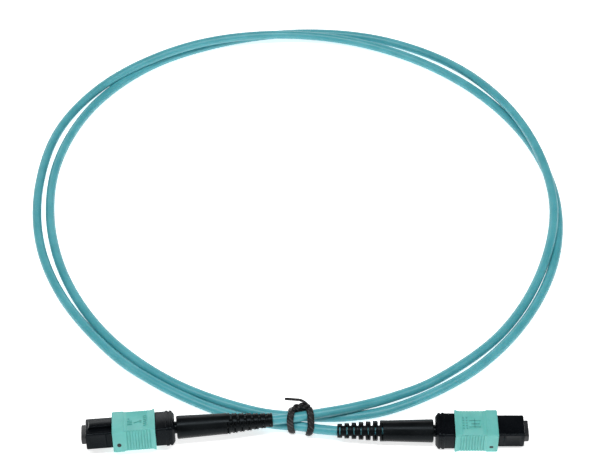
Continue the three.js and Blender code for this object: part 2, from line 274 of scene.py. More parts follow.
def markPaintMaterial(look):  # the pad-printed position mark
    material, tree, shader, place = startMaterial("markPaint")
    spread = mapNode(tree, noiseNode(tree, place, look["grain"], 2.0), 0.3, 0.7)
    shadeBetween(tree, shader, spread, look["dark"], look["light"])
    addBump(tree, shader, spread, look["bump"], 0.00002)
    shader.inputs["Roughness"].default_value = look["rough"]
    return material


def tieMaterial(look):  # a wire in a braided black cover, its weave crests painted lighter as highlight specks
    material, tree, shader, place = startMaterial("tieBraid")
    weave = []
    for turn in (look["lay"], -look["lay"]):
        lay = tree.nodes.new("ShaderNodeMapping")
        lay.inputs["Rotation"].default_value = (turn, 0.5 * turn, turn)
        tree.links.new(place, lay.inputs["Vector"])
        wave = tree.nodes.new("ShaderNodeTexWave")
        wave.inputs["Scale"].default_value = look["weave"]
        wave.inputs["Distortion"].default_value = 0.6
        tree.links.new(lay.outputs[0], wave.inputs["Vector"])
        weave.append(wave.outputs["Fac"])
    braid = mathNode(tree, "MULTIPLY", weave[0], weave[1])
    # lighter colour on the weave crests is a painted highlight; roughness and bump follow the same weave
    shadeBetween(tree, shader, mapNode(tree, braid, 0.35, 0.9), look["dark"], look["light"])
    tree.links.new(mapNode(tree, braid, 0.0, 1.0, *look["rough"]), shader.inputs["Roughness"])
    addBump(tree, shader, braid, look["bump"], 0.00012)
    shader.inputs["Specular IOR Level"].default_value = look["specular"]
    return material


def metalMaterial(name, look):  # drawn and plated metal
    material, tree, shader, place = startMaterial(name)
    grain, rough, tint = look["grain"], look["rough"], look["tint"]
    drawn = tree.nodes.new("ShaderNodeMapping")
    drawn.inputs["Scale"].default_value = (grain * 0.1, grain, grain)
    tree.links.new(place, drawn.inputs["Vector"])
    lines = noiseNode(tree, drawn.outputs[0], 1.0, 3.0)
    darker = tuple(0.8 * part for part in tint)
    shadeBetween(tree, shader, mapNode(tree, lines, 0.3, 0.7), darker, tint)
    tree.links.new(mapNode(tree, lines, 0.2, 0.8, rough - 0.06, rough + 0.1), shader.inputs["Roughness"])
    addBump(tree, shader, lines, look["bump"], 0.00002)
    shader.inputs["Metallic"].default_value = 1.0
    return material


def aramidMaterial(look):  # loose golden yarn under the crimp
    material, tree, shader, place = startMaterial("aramidYarn")
    strands = tree.nodes.new("ShaderNodeMapping")
    strands.inputs["Scale"].default_value = look["grain"]
    tree.links.new(place, strands.inputs["Vector"])
    lines = noiseNode(tree, strands.outputs[0], 1.0, 3.0)
    shadeBetween(tree, shader, mapNode(tree, lines, 0.3, 0.7), look["dark"], look["light"])
    shader.inputs["Roughness"].default_value = look["rough"]
    shader.inputs["Sheen Weight"].default_value = look["sheen"]
    addBump(tree, shader, lines, look["bump"], 0.00008)
    return material


def ribbonMaterial(side, place, look):  # twelve coated fibres side by side, in the usual colour order
    material, tree, shader, coordinates = startMaterial(side + "FibreRibbon")
    across = tree.nodes.new("ShaderNodeMapping")
    across.vector_type = "TEXTURE"
    across.inputs["Location"].default_value = place.translation
    across.inputs["Rotation"].default_value = place.to_euler()
    tree.links.new(coordinates, across.inputs["Vector"])
    parts = tree.nodes.new("ShaderNodeSeparateXYZ")
    tree.links.new(across.outputs[0], parts.inputs[0])
    share = mapNode(tree, parts.outputs["Y"], -look["half"] * mm, look["half"] * mm)
    ramp = tree.nodes.new("ShaderNodeValToRGB")
    ramp.color_ramp.interpolation = "CONSTANT"
    coats = [
        (0.02, 0.12, 0.5), (0.8, 0.25, 0.02), (0.03, 0.35, 0.08), (0.2, 0.08, 0.03),
        (0.25, 0.27, 0.3), (0.8, 0.8, 0.78), (0.6, 0.02, 0.02), (0.02, 0.02, 0.02),
        (0.8, 0.65, 0.03), (0.25, 0.05, 0.4), (0.8, 0.3, 0.4), (0.05, 0.55, 0.6),
    ]
    stops = ramp.color_ramp.elements
    for i, coat in enumerate(coats):
        stop = stops[0] if i == 0 else stops.new(i / len(coats))
        stop.position = i / len(coats)
        stop.color = (*coat, 1)
    stops.remove(stops[-1])
    tree.links.new(share, ramp.inputs[0])
    tree.links.new(ramp.outputs[0], shader.inputs["Base Color"])
    shader.inputs["Roughness"].default_value = look["rough"]
    return material


fibreEnds = fibreGlassMaterial(looks["fibreEnds"])
markPaint = markPaintMaterial(looks["markPaint"])
tieBraid = tieMaterial(looks["tie"])
springWire = metalMaterial("springWire", looks["spring"])
platedCrimp = metalMaterial("platedCrimp", looks["crimp"])
aramidYarn = aramidMaterial(looks["yarn"])
print("materials made")


# helpers for the meshes
def finishPiece(bm, name, body, materials, place=None, sharp=32):
    bmesh.ops.remove_doubles(bm, verts=bm.verts, dist=0.0005)
    bmesh.ops.recalc_face_normals(bm, faces=bm.faces)
    bmesh.ops.transform(bm, matrix=place or Matrix.Scale(mm, 4), verts=bm.verts)
    mesh = bpy.data.meshes.new(name)
    bm.to_mesh(mesh)
    bm.free()
    for material in materials:
        mesh.materials.append(material)
    mesh.shade_smooth()
    mesh.set_sharp_from_angle(angle=math.radians(sharp))
    piece = bpy.data.objects.new(name, mesh)
    bpy.context.scene.collection.objects.link(piece)
    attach(piece, body)
    return piece


def drawOut(bm, edges):
    # a new ring, its vertices and edges, pulled out of an open one
    made = bmesh.ops.extrude_edge_only(bm, edges=edges)["geom"]
    verts = [g for g in made if isinstance(g, bmesh.types.BMVert)]
    reached = set(verts)
    ring = [g for g in made if isinstance(g, bmesh.types.BMEdge) and all(v in reached for v in g.verts)]
    return verts, ring


def spinRound(bm, profile, steps):
    # a closed profile of (x, radius) turned once round x
    verts = [bm.verts.new((x, 0, radius)) for x, radius in profile]
    edges = [bm.edges.new((a, b)) for a, b in zip(verts, verts[1:] + verts[:1])]
    bmesh.ops.spin(
        bm, geom=verts + edges, cent=(0, 0, 0), axis=(1, 0, 0), angle=2 * math.pi, steps=steps,
        use_merge=True, use_normal_flip=False, use_duplicate=False,
    )


def loft(bm, stations, closed=False, steps=4):
    # rounded rectangles (x, width, height, corner) joined along x, open caps filled
    x, width, height, corner = stations[0]
    known = set(bm.verts)
    across = Matrix(((0, 0, 1, x), (width, 0, 0, 0), (0, height, 0, 0), (0, 0, 0, 1)))
    square = across @ Matrix.Rotation(math.radians(45), 4, "Z")
    bmesh.ops.create_circle(bm, cap_ends=True, segments=4, radius=math.sqrt(0.5), matrix=square)
    bmesh.ops.bevel(
        bm, geom=[v for v in bm.verts if v not in known], offset=corner, offset_type="OFFSET",
        affect="VERTICES", segments=steps, profile=0.5, material=-1,
    )
    ring = [v for v in bm.verts if v not in known]
    caps = list({f for v in ring for f in v.link_faces})
    bmesh.ops.delete(bm, geom=caps, context="FACES_ONLY")
    first = edges = list({e for v in ring for e in v.link_edges})
    for nextX, nextWidth, nextHeight, nextCorner in stations[1:]:
        verts, edges = drawOut(bm, edges)
        for v in verts:
            overY = (abs(v.co.y) - width / 2 + corner) / corner
            overZ = (abs(v.co.z) - height / 2 + corner) / corner
            v.co.x = nextX
            v.co.y = math.copysign(nextWidth / 2 - nextCorner + overY * nextCorner, v.co.y)
            v.co.z = math.copysign(nextHeight / 2 - nextCorner + overZ * nextCorner, v.co.z)
        width, height, corner = nextWidth, nextHeight, nextCorner
    if closed:
        bmesh.ops.bridge_loops(bm, edges=first + edges)
    else:
        bmesh.ops.holes_fill(bm, edges=first + edges, sides=0)
    return edges


def block(bm, centre, size, turn=0.0):
    turned = Matrix.Rotation(math.radians(turn), 4, "Z") @ Matrix.Diagonal((*size, 1))
    return bmesh.ops.create_cube(bm, size=1, matrix=Matrix.Translation(centre) @ turned)["verts"]


def bevelEdges(bm, corners, offset, segments):
    bmesh.ops.bevel(
        bm, geom=list({e for v in corners for e in v.link_edges}), offset=offset, offset_type="OFFSET",
        affect="EDGES", segments=segments, profile=0.5, material=-1,
    )


def facesAt(corners):
    return {f for v in corners for f in v.link_faces}


def rod(bm, start, end, radius, y, segments):
    place = Matrix.Translation(((start + end) / 2, y, 0)) @ Matrix.Rotation(math.radians(90), 4, "Y")
    return bmesh.ops.create_cone(
        bm, cap_ends=True, segments=segments, radius1=radius, radius2=radius, depth=end - start,
        matrix=place,
    )["verts"]


def placeOf(side, keyUp, roll):
    # from millimetres along the connector to the frame, by the ferrule's mount
    mount = mounts[side + "_ferrule_face"]
    along = Vector(mount["axis"]).normalized()
    across = Vector((0, 0, 1)).cross(along).normalized()
    up = along.cross(across).normalized()
    if not keyUp:
        across, up = -across, -up
    tip = Vector(mount["pos_m"]) - along * ferrule["face"] * mm
    facing = Matrix((along, across, up)).transposed().to_4x4()
    turned = facing @ Matrix.Rotation(math.radians(roll), 4, "X")
    return Matrix.Translation(tip) @ turned @ Matrix.Scale(mm, 4)


# the cable, from the left boot to the right one
cable = {
    "radius": 1.5,
    "length": 1.132,  # metres, along the route between the boots
    "sides": 6,
    "steps": 10,
    "route": [
        (-9.95, 3.58, 5.7), (-4.1, 4.27, 5.8), (1.9, 5.57, 5.8), (14.9, 9.37, 4.8),
        (27.9, 15.67, 2.5), (40.4, 22.67, 1.65), (61.9, 41.67, 1.65), (76.4, 66.67, 2.4),
        (83.4, 94.67, 4.3), (80.4, 123.17, 4.9), (69.9, 149.67, 4.4), (52.4, 172.67, 2.1),
        (26.9, 186.67, 1.55), (-1.6, 190.17, 1.5), (-30.1, 184.67, 1.5), (-55.6, 171.67, 1.5),
        (-74.6, 150.17, 1.5), (-84.6, 122.67, 1.5), (-85.1, 94.17, 1.5), (-77.6, 66.17, 1.5),
        (-62.6, 41.17, 1.5), (-41.1, 22.17, 1.5), (-15.1, 9.97, 2.1), (-1.1, 7.27, 2.95),
        (13.9, 8.07, 2), (27.9, 11.87, 1.5), (52.4, 26.67, 1.5), (70.9, 48.67, 1.5),
        (82.4, 75.67, 1.5), (84.9, 104.17, 1.5), (77.9, 132.17, 1.5), (62.4, 156.67, 1.5),
        (40.4, 175.17, 1.6), (13.4, 185.67, 2.4), (-15.6, 186.17, 4), (-43.1, 178.17, 5),
        (-68.6, 162.17, 3.5), (-84.6, 140.17, 1.75), (-90.1, 111.67, 1.55), (-87.6, 82.67, 1.5),
        (-77.6, 57.17, 1.5), (-59.6, 33.07, 1.5), (-47.6, 22.97, 1.5), (-36.2, 15.67, 1.5),
        (-23.8, 9.57, 1.5), (-10.1, 5.07, 2.1), (-1.1, 3.32, 2.95), (3.9, 1.87, 3.45),
        (7, 1.19, 3.8), (9.9, 0.77, 3.975),
    ],
}


def smoothLine(name, points, radius, sides, steps):
    # a round bar on a smooth line through the points
    line = bpy.data.curves.new(name, "CURVE")
    line.dimensions = "3D"
    line.resolution_u = steps
    line.bevel_depth = radius
    line.bevel_resolution = sides
    line.use_fill_caps = True
    spline = line.splines.new("BEZIER")
    spline.bezier_points.add(len(points) - 1)
    for point, place in zip(spline.bezier_points, points):
        point.handle_left_type = point.handle_right_type = "FREE"
        point.co = point.handle_left = point.handle_right = place
    for i in range(len(points) - 1):
        here, there = points[i], points[i + 1]
        before = points[i - 1] if i else 2 * here - there
        after = points[i + 2] if i + 2 < len(points) else 2 * there - here
        d0, d1, d2 = ((b - a).length ** 0.5 for a, b in ((before, here), (here, there), (there, after)))
        leave = ((here - before) / d0 - (there - before) / (d0 + d1) + (there - here) / d1) * d1
        arrive = ((there - here) / d1 - (after - here) / (d1 + d2) + (after - there) / d2) * d1
        spline.bezier_points[i].handle_right = here + leave / 3
        spline.bezier_points[i + 1].handle_left = there - arrive / 3
    return line


routePoints = [Vector(point) * mm for point in cable["route"]]
cableLine = smoothLine("cable", routePoints, cable["radius"] * mm, cable["sides"], cable["steps"])
cablePiece = bpy.data.objects.new("cable", cableLine)
bpy.context.scene.collection.objects.link(cablePiece)
cablePiece.data.materials.append(jacketAqua)
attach(cablePiece, "root")
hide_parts("cable_jacket")
print("cable laid")


# the twist tie, twice round the three passes of cable
# passes: y and z of each length of cable inside a ring
tie = {
    "width": 2.15,
    "thick": 1.08,
    "gap": 0.04,
    "rings": [
        {"x": -4.1, "bow": -0.75, "passes": [(4.02, 2.68), (7.84, 2.63), (4.57, 5.75)]},
        {"x": 1.5, "bow": 1.0, "passes": [(2.72, 3.18), (7.37, 2.7), (5.57, 5.77)]},
    ],
    "ringSides": 14,
    "ringStep": 0.16,  # radians between the sections round a pass
    "arch": [(-3.6, 6.07, 7.9), (-2.6, 6.67, 8.1), (-1.1, 7.07, 8.3), (0.4, 7.07, 8.1), (1.3, 6.67, 7.7)],
    "cross": [(-3.6, 6.27, 6.8), (-2.2, 6.47, 6.75), (-0.8, 6.77, 6.7), (0.5, 7.12, 6.7), (1.5, 7.37, 6.7)],
    "tail": [(0.9, 7.27, 8.3), (0.1, 7.77, 8.9), (-1.2, 8.37, 9.3), (-3.4, 8.87, 9.1), (-6.0, 9.27, 8.9)],
    "strand": 0.56,
    "twists": 1.5,
    "twistOffset": 0.448,
    "tailRadius": 0.42,
}


def tieRing(bm, ring):
    # an oval section taken round the passes: spun at each one, drawn out between them
    halfWide, halfThick = tie["width"] / 2, tie["thick"] / 2
    reach = cable["radius"] + tie["gap"] + halfThick
    passes = [Vector((ring["x"], y, z)) for y, z in ring["passes"]]
    known = set(bm.verts)

    def heading(a, b):
        return math.atan2(b.z - a.z, b.y - a.y) - math.pi / 2

    start = heading(passes[-1], passes[0])
    out = Vector((0, math.cos(start), math.sin(start)))
    oval = Matrix((
        (halfWide, 0, 0, 0), (0, halfThick * out.y, 0, 0), (0, halfThick * out.z, 0, 0), (0, 0, 0, 1),
    ))
    verts = bmesh.ops.create_circle(
        bm, cap_ends=False, segments=tie["ringSides"], radius=1,
        matrix=Matrix.Translation(passes[0] + out * reach) @ oval,
    )["verts"]
    geom = verts + list({e for v in verts for e in v.link_edges})
    for i, centre in enumerate(passes):
        after = passes[(i + 1) % len(passes)]
        turn = (heading(centre, after) - heading(passes[i - 1], centre)) % (2 * math.pi)
        geom = bmesh.ops.spin(
            bm, geom=geom, cent=centre, axis=(1, 0, 0), angle=turn,
            steps=max(3, round(turn / tie["ringStep"])),
            use_merge=False, use_normal_flip=False, use_duplicate=False,
        )["geom_last"]
        verts, edges = drawOut(bm, [g for g in geom if isinstance(g, bmesh.types.BMEdge)])
        bmesh.ops.translate(bm, vec=after - centre, verts=verts)
        geom = verts + edges
    bmesh.ops.remove_doubles(bm, verts=bm.verts, dist=0.002)
    made = [v for v in bm.verts if v not in known]
    # the ring bows along the cable between its lower front and its upper back
    low, high = (pick(v.co.y + v.co.z for v in made) for pick in (min, max))
    for v in made:
        share = (2 * (v.co.y + v.co.z) - low - high) / (high - low)
        v.co.x += ring["bow"] * (0.5 - share * share)


def addTube(bm, points, radius):
    line = bpy.data.objects.new("line", smoothLine("line", points, radius, sides=3, steps=5))
    mesh = line.to_mesh()
    bm.from_mesh(mesh)
    line.to_mesh_clear()
    bpy.data.objects.remove(line)


def twisted(points, phase):
    # points on a helix round a line, for one strand of the twist
    made = []
    spans = list(zip(points, points[1:]))
    for i, (here, there) in enumerate(spans):
        along = (there - here).normalized()
        side = along.cross(Vector((0, 0.3, 1))).normalized()
        for share in (0.0, 0.25, 0.5, 0.75):
            angle = phase + 2 * math.pi * tie["twists"] * (i + share) / len(spans)
            out = math.cos(angle) * side + math.sin(angle) * side.cross(along)
            made.append(here.lerp(there, share) + tie["twistOffset"] * out)
    return made


bm = bmesh.new()
for ring in tie["rings"]:
    tieRing(bm, ring)
arch = [Vector(point) for point in tie["arch"]]
for phase in (0, math.pi):
    addTube(bm, twisted(arch, phase), tie["strand"])
addTube(bm, [Vector(point) for point in tie["cross"]], tie["strand"])
addTube(bm, [Vector(point) for point in tie["tail"]], tie["tailRadius"])
tiePiece = finishPiece(bm, "tie", "root", [tieBraid], sharp=50)
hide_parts("twist_tie")
print("tie wrapped")


# the ribbed boots, thinnest at the tip
boot = {
    "length": 29.1, "bore": 1.51, "ringBore": 2.95, "ringStart": 15.2,
    "ribs": 6, "pitch": 2.15, "rib": 1.5, "tipRadius": 2.15, "lastRadius": 3.05,
    "ribRounds": ((0.04, 0.1), (0.16, 0.0)), "edge": 0.16, "lip": 0.04,
    "gapFloor": 1.62, "webHalf": 0.6,  # the two halves are angles in radians
    "windowWide": 0.34, "windowFloor": 1.52, "windowHalf": 0.92,
    "barrelStart": 15.4, "barrelMiddle": 22.0, "barrel": (3.2, 3.55), "chamfer": 0.4,
}


def bootRadius(x):
    grow = (boot["lastRadius"] - boot["tipRadius"]) / (boot["ribs"] - 1)
    return boot["tipRadius"] + grow * x / boot["pitch"]


def makeBoot(side, place, slotTurn, cableShows):
    # one closed profile spun round x; then gaps above and below and windows at the sides are pressed in
    bm = bmesh.new()
    pitch, rib, edge, lip, rounds = (boot[k] for k in ("pitch", "rib", "edge", "lip", "ribRounds"))
    middle, half = rib / 2, boot["windowWide"] / 2
    profile = [(0.0, boot["bore"]), (0.0, bootRadius(0) - edge)]
    for i in range(boot["ribs"] + 1):
        start = i * pitch
        radius = bootRadius(start)
        profile += [(start + shift, radius - drop) for shift, drop in rounds]
        profile += [(start + middle + shift, radius) for shift in (-half - lip, -half, half, half + lip)]
        if i < boot["ribs"]:
            profile += [(start + rib - shift, radius - drop) for shift, drop in reversed(rounds)]
            profile += [(start + shift, radius - edge) for shift in (rib, rib + lip, pitch - lip, pitch)]
    rear, front = boot["barrel"]
    length, chamfer, ringStart = boot["length"], boot["chamfer"], boot["ringStart"]
    profile += [
        (boot["barrelStart"], rear), (boot["barrelMiddle"], (rear + front) / 2), (length - chamfer, front),
        (length - 0.3 * chamfer, front - 0.3 * chamfer), (length, front - chamfer),
        (length, boot["ringBore"]), (ringStart, boot["ringBore"]), (ringStart, boot["bore"]),
    ]
    spinRound(bm, profile, 72)
    bmesh.ops.remove_doubles(bm, verts=bm.verts, dist=0.0005)
    windows = set()
    for v in bm.verts:
        radius = math.hypot(v.co.y, v.co.z)
        if radius < boot["bore"] + 0.05 or v.co.x > pitch * (boot["ribs"] + 1):
            continue
        inRib = v.co.x % pitch
        angle = math.atan2(v.co.z, v.co.y) - math.radians(slotTurn)
        aside = math.atan2(abs(math.sin(angle)), abs(math.cos(angle)))  # 0 where the windows face
        wanted = radius
        if abs(inRib - middle) < half + 0.001 and aside < boot["windowHalf"]:
            wanted = boot["windowFloor"]
            if cableShows:
                windows.add(v)
        elif rib + lip / 2 < inRib < pitch - lip / 2 and aside > boot["webHalf"]:
            wanted = boot["gapFloor"]
        v.co.y *= wanted / radius
        v.co.z *= wanted / radius
    for f in bm.faces:
        if all(v in windows for v in f.verts):
            f.material_index = 1
    piece = finishPiece(bm, side + "_boot_rubber", "root", [bootRubber, jacketAqua], place, sharp=40)
    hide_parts(side + "_boot")


# the rear body: collar, rear block, stem and legs
# collar: start, end, width, height; block and seat: end, width, height; slot: width, height, corner
# stem: start, end, outer and inner radius; leg: start, end, width, thickness, offset
rearBody = {
    "collar": (29.7, 32.4, 9.4, 7.2), "block": (35.5, 9.0, 6.6), "seat": (38.6, 6.9, 4.1), "bore": 2.5,
    "slot": (3.5, 0.7, 0.2), "slotShift": 0.5,
    "collarEdge": [  # distance from its rear, how much narrower, corner
        (0.0, 1.8, 0.9), (0.12, 1.45, 1.0), (0.75, 0.15, 1.1), (0.9, 0.0, 1.1), (1.35, 0.0, 1.0),
        (1.45, 0.1, 1.0), (1.5, 0.45, 0.9), (1.75, 0.45, 0.9), (1.8, 0.1, 0.9), (1.9, 0.0, 0.9),
    ],
    "stem": (16.0, 30.0, 1.85, 1.25), "leg": (38.4, 46.8, 4.6, 0.42, 1.72), "legBevel": 0.1,
}


def makeRearBody(side, place):
    bm = bmesh.new()
    start, end, wide, high = rearBody["collar"]
    blockEnd, blockWide, blockHigh = rearBody["block"]
    seatEnd, *seat = rearBody["seat"]
    mouth = (rearBody["bore"], rearBody["bore"], 1.0)
    slotStart = start + rearBody["slotShift"]
    collar = [(start + x, wide - less, high - less, corner) for x, less, corner in rearBody["collarEdge"]]
    loft(bm, [
        (start, *mouth), *collar,
        (end - 0.12, wide, high, 0.9), (end, wide - 0.2, high - 0.2, 0.8),
        (end, blockWide, blockHigh, 0.6), (blockEnd - 0.2, blockWide, blockHigh, 0.6),
        (blockEnd, blockWide - 0.3, blockHigh - 0.3, 0.6), (blockEnd, *seat, 0.4), (seatEnd, *seat, 0.4),
        (seatEnd, *rearBody["slot"]), (slotStart, *rearBody["slot"]), (slotStart, *mouth),
    ], closed=True)
    stemStart, stemEnd, outer, inner = rearBody["stem"]
    spinRound(bm, [
        (stemStart, inner), (stemStart, outer - 0.1), (stemStart + 0.1, outer),
        (stemEnd, outer), (stemEnd, inner),
    ], 32)
    legStart, legEnd, legWide, legThick, legOffset = rearBody["leg"]
    for way in (-1, 1):
        middle = ((legStart + legEnd) / 2, 0, way * legOffset)
        bevelEdges(bm, block(bm, middle, (legEnd - legStart, legWide, legThick)), rearBody["legBevel"], 2)
    piece = finishPiece(bm, side + "_rear_body", "root", [housingBlack], place)
    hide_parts(side + "_spring_push")


# the inner housing with its key
# key: start, end, width, height; recesses: start, end, slope, depth
housing = {
    "start": 35.8, "end": 56.5, "wide": 7.9, "high": 5.9, "corner": 0.5, "wall": 2.6,
    "cavity": (7.2, 4.5), "mouth": (6.7, 2.8),
    "key": (48.7, 56.1, 3.0, 1.0), "keyRamp": 0.85, "keyBevel": 0.14,
    "latchRecess": (48.8, 50.4, 0.22, 0.14), "sideRecess": (50.6, 55.6, 0.75, 0.2),
}


def makeHousing(side, place):
    bm = bmesh.new()
    wide, high, corner = housing["wide"], housing["high"], housing["corner"]
    cavityWide, cavityHigh = housing["cavity"]
    mouthWide, mouthHigh = housing["mouth"]
    recesses = (housing["latchRecess"], housing["sideRecess"])
    start, end = housing["start"], housing["end"]
    inner = end - housing["wall"]
    stations = [
        (start, wide - 0.2, high - 0.2, corner), (start + 0.15, wide, high, corner),
        *((x, wide, high, corner) for recess in recesses for x in recess[:2]),
        (end - 0.35, wide, high, corner), (end - 0.1, wide - 0.16, high - 0.16, corner),
        (end, wide - 0.5, high - 0.5, corner), (end, mouthWide + 0.3, mouthHigh + 0.3, 0.5),
        (end - 0.15, mouthWide, mouthHigh, 0.4), (inner, mouthWide, mouthHigh, 0.4),
        (inner, cavityWide, cavityHigh, 0.5), (start, cavityWide, cavityHigh, 0.5),
    ]
    loft(bm, stations, closed=True)
    bmesh.ops.recalc_face_normals(bm, faces=bm.faces)
    for first, last, slope, deep in recesses:
        sides = [
            f for f in bm.faces
            if abs(f.normal.y) > 0.99 and first < f.calc_center_median().x < last
            and abs(f.calc_center_median().y) > wide / 2 - 0.1
        ]
        bmesh.ops.inset_individual(bm, faces=sides, thickness=slope, depth=-deep)
    keyStart, keyEnd, keyWide, keyHigh = housing["key"]
    middle = ((keyStart + keyEnd) / 2, 0, high / 2 + keyHigh / 2 - 0.2)
    corners = block(bm, middle, (keyEnd - keyStart, keyWide, keyHigh + 0.4))
    for v in corners:
        if v.co.x > middle[0] and v.co.z > middle[2]:
            v.co.x -= housing["keyRamp"]
    bevelEdges(bm, corners, housing["keyBevel"], 3)
    piece = finishPiece(bm, side + "_plug_body", "root", [housingBlack], place)
    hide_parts(side + "_inner_housing")


# the ferrule with its pin holes and fibre ends
# flange: start, end, width, height; cavity: end, width, height
ferrule = {
    "face": 57.9, "body": (6.4, 2.5), "flange": (49.9, 52.1, 7.0, 3.0), "cavity": (53.5, 4.4, 1.5),
    "pinPitch": 4.6, "pinRadius": 0.35, "pinDepth": 5.2,
    "fibres": 12, "fibrePitch": 0.25, "fibreRadius": 0.07, "fibreDepth": 0.2, "fibreProud": 0.02,
}


def makeFerrule(side, place):
    bm = bmesh.new()
    wide, high = ferrule["body"]
    flangeStart, flangeEnd, flangeWide, flangeHigh = ferrule["flange"]
    cavityEnd, cavityWide, cavityHigh = ferrule["cavity"]
    face = ferrule["face"]
    stations = [
        (cavityEnd, cavityWide, cavityHigh, 0.2), (flangeStart, cavityWide, cavityHigh, 0.2),
        (flangeStart, flangeWide - 0.2, flangeHigh - 0.2, 0.3),
        (flangeStart + 0.1, flangeWide, flangeHigh, 0.3), (flangeEnd - 0.1, flangeWide, flangeHigh, 0.3),
        (flangeEnd, flangeWide - 0.2, flangeHigh - 0.2, 0.3), (flangeEnd, wide, high, 0.25),
        (face - 0.2, wide, high, 0.25), (face, wide - 0.36, high - 0.36, 0.2),
    ]
    front = loft(bm, stations)
    frontFaces = [f for f in bm.faces if all(abs(v.co.x - face) < 1e-4 for v in f.verts)]
    bmesh.ops.delete(bm, geom=frontFaces, context="FACES_ONLY")
    holes = []
    facing = Matrix.Rotation(math.radians(90), 4, "Y")
    for way in (-1, 1):
        centred = Matrix.Translation((face, way * ferrule["pinPitch"] / 2, 0)) @ facing
        hole = bmesh.ops.create_circle(bm, segments=16, radius=ferrule["pinRadius"], matrix=centred)
        holes.append(list({e for v in hole["verts"] for e in v.link_edges}))
    bmesh.ops.triangle_fill(bm, use_beauty=True, edges=front + holes[0] + holes[1], normal=(1, 0, 0))
    for edges in holes:
        for x in (face - 0.15, face - ferrule["pinDepth"]):
            verts, edges = drawOut(bm, edges)
            for v in verts:
                v.co.x = x
        bmesh.ops.holes_fill(bm, edges=edges, sides=0)
    for i in range(ferrule["fibres"]):
        y = (i - (ferrule["fibres"] - 1) / 2) * ferrule["fibrePitch"]
        start, end = face - ferrule["fibreDepth"], face + ferrule["fibreProud"]
        for f in facesAt(rod(bm, start, end, ferrule["fibreRadius"], y, segments=10)):
            f.material_index = 1
    piece = finishPiece(bm, side + "_fibre_ferrule", side + "_ferrule", [ferruleResin, fibreEnds], place)
    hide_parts(side + "_ferrule")


# the sliding coupling
# rear bore: width, height, depth; spring bore: width, end; panel: start, end, slope, depth
coupling = {
    "start": 35.5, "end": 48.5, "wide": 10.3, "high": 7.95, "corner": 0.5, "step": 0.16, "band": 3.5,
    "ribs": 9, "pitch": 0.86, "ribStart": 36.9, "ribDepth": 0.24,
    "groove": [(0.0, 0.0), (0.1, 0.8), (0.2, 1.0), (0.34, 1.0), (0.43, 0.6), (0.53, 0.0)],  # share of depth
    "rearBore": (9.2, 6.8, 3.0), "springBore": (9.1, 46.25), "bore": (8.3, 6.3),
    "panel": (37.5, 44.4, 0.42, 0.22),
}


def makeCoupling(side, place, marks):
    bm = bmesh.new()
    start, end, corner, step = (coupling[k] for k in ("start", "end", "corner", "step"))
    wide, high = coupling["wide"], coupling["high"]
    bodyWide, bodyHigh = wide - 2 * step, high - 2 * step
    bandStart = end - coupling["band"]
    deep, ribStart = coupling["ribDepth"], coupling["ribStart"]
    panelStart, panelEnd, panelEdge, panelDeep = coupling["panel"]
    stations = [
        (start, wide - 0.15, high - 0.1, corner), (start + 0.12, wide + 0.2, high, corner),
        (start + 0.5, wide, high, corner), (start + 1.0, bodyWide + 0.05, bodyHigh + 0.04, corner),
        (start + 1.25, bodyWide, bodyHigh, corner),
    ]
    for i in range(coupling["ribs"]):
        at = ribStart + i * coupling["pitch"]
        for along, share in coupling["groove"]:
            stations.append((at + along, bodyWide - 2 * share * deep, bodyHigh, corner - share * deep))
    bore, boreHigh = coupling["bore"]
    rearWide, rearHigh, rearDeep = coupling["rearBore"]
    springWide, springEnd = coupling["springBore"]
    stations += [
        (bandStart - 0.12, bodyWide, bodyHigh, corner), (bandStart, wide - 0.12, high - 0.12, corner),
        (bandStart + 0.12, wide, high, corner), (end - 0.3, wide, high, corner),
        (end - 0.08, wide - 0.16, high - 0.16, corner), (end, wide - 0.5, high - 0.5, corner),
        (end, bore + 0.3, boreHigh + 0.3, corner), (end - 0.15, bore, boreHigh, corner),
        (springEnd, bore, boreHigh, corner), (springEnd, springWide, boreHigh, corner),
        (start + rearDeep, springWide, boreHigh, corner), (start + rearDeep, rearWide, rearHigh, corner),
        (start, rearWide, rearHigh, corner),
    ]
    loft(bm, stations, closed=True)
    bmesh.ops.recalc_face_normals(bm, faces=bm.faces)
    # the groove floors between the ribs get the darker aqua: painted shade
    for f in bm.faces:
        middle = f.calc_center_median()
        onFloor = abs(abs(middle.y) - bodyWide / 2 + deep) < 0.02
        if ribStart < middle.x < bandStart - 0.2 and onFloor:
            f.material_index = 1
    for way in (-1, 1):
        wideFaces = [
            f for f in bm.faces
            if f.normal.z * way > 0.99 and panelStart < f.calc_center_median().x < panelEnd
            and f.calc_center_median().z * way > bodyHigh / 2 - 0.05
        ]
        bmesh.ops.inset_region(
            bm, faces=wideFaces, thickness=panelEdge, depth=-panelDeep,
            use_even_offset=True, use_boundary=True,
        )
    top = bodyHigh / 2 - panelDeep + 0.03
    # the raised marks get the darker aqua as painted shade, so that they stand out from the panel
    for x, y, long, broad, turn in marks:
        for way in (-1, 1):
            for f in facesAt(block(bm, (x, y, way * top), (long, broad, 0.3), turn)):
                f.material_index = 1
    finishes = [couplingAqua, couplingPaintedShade]
    piece = finishPiece(bm, side + "_slide_sleeve", side + "_coupling", finishes, place)
    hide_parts(side + "_coupling")


def makePositionMark(side, place, mark):
    bm = bmesh.new()
    x, z, long, tall, corner = mark
    turned = Matrix.Translation((x, coupling["wide"] / 2, z)) @ Matrix.Rotation(math.radians(90), 4, "Z")
    loft(bm, [(-0.05, long, tall, corner), (0.025, long, tall, corner)], steps=6)
    bmesh.ops.transform(bm, matrix=turned, verts=bm.verts)
    finishPiece(bm, side + "_position_mark", side + "_coupling", [markPaint], place)


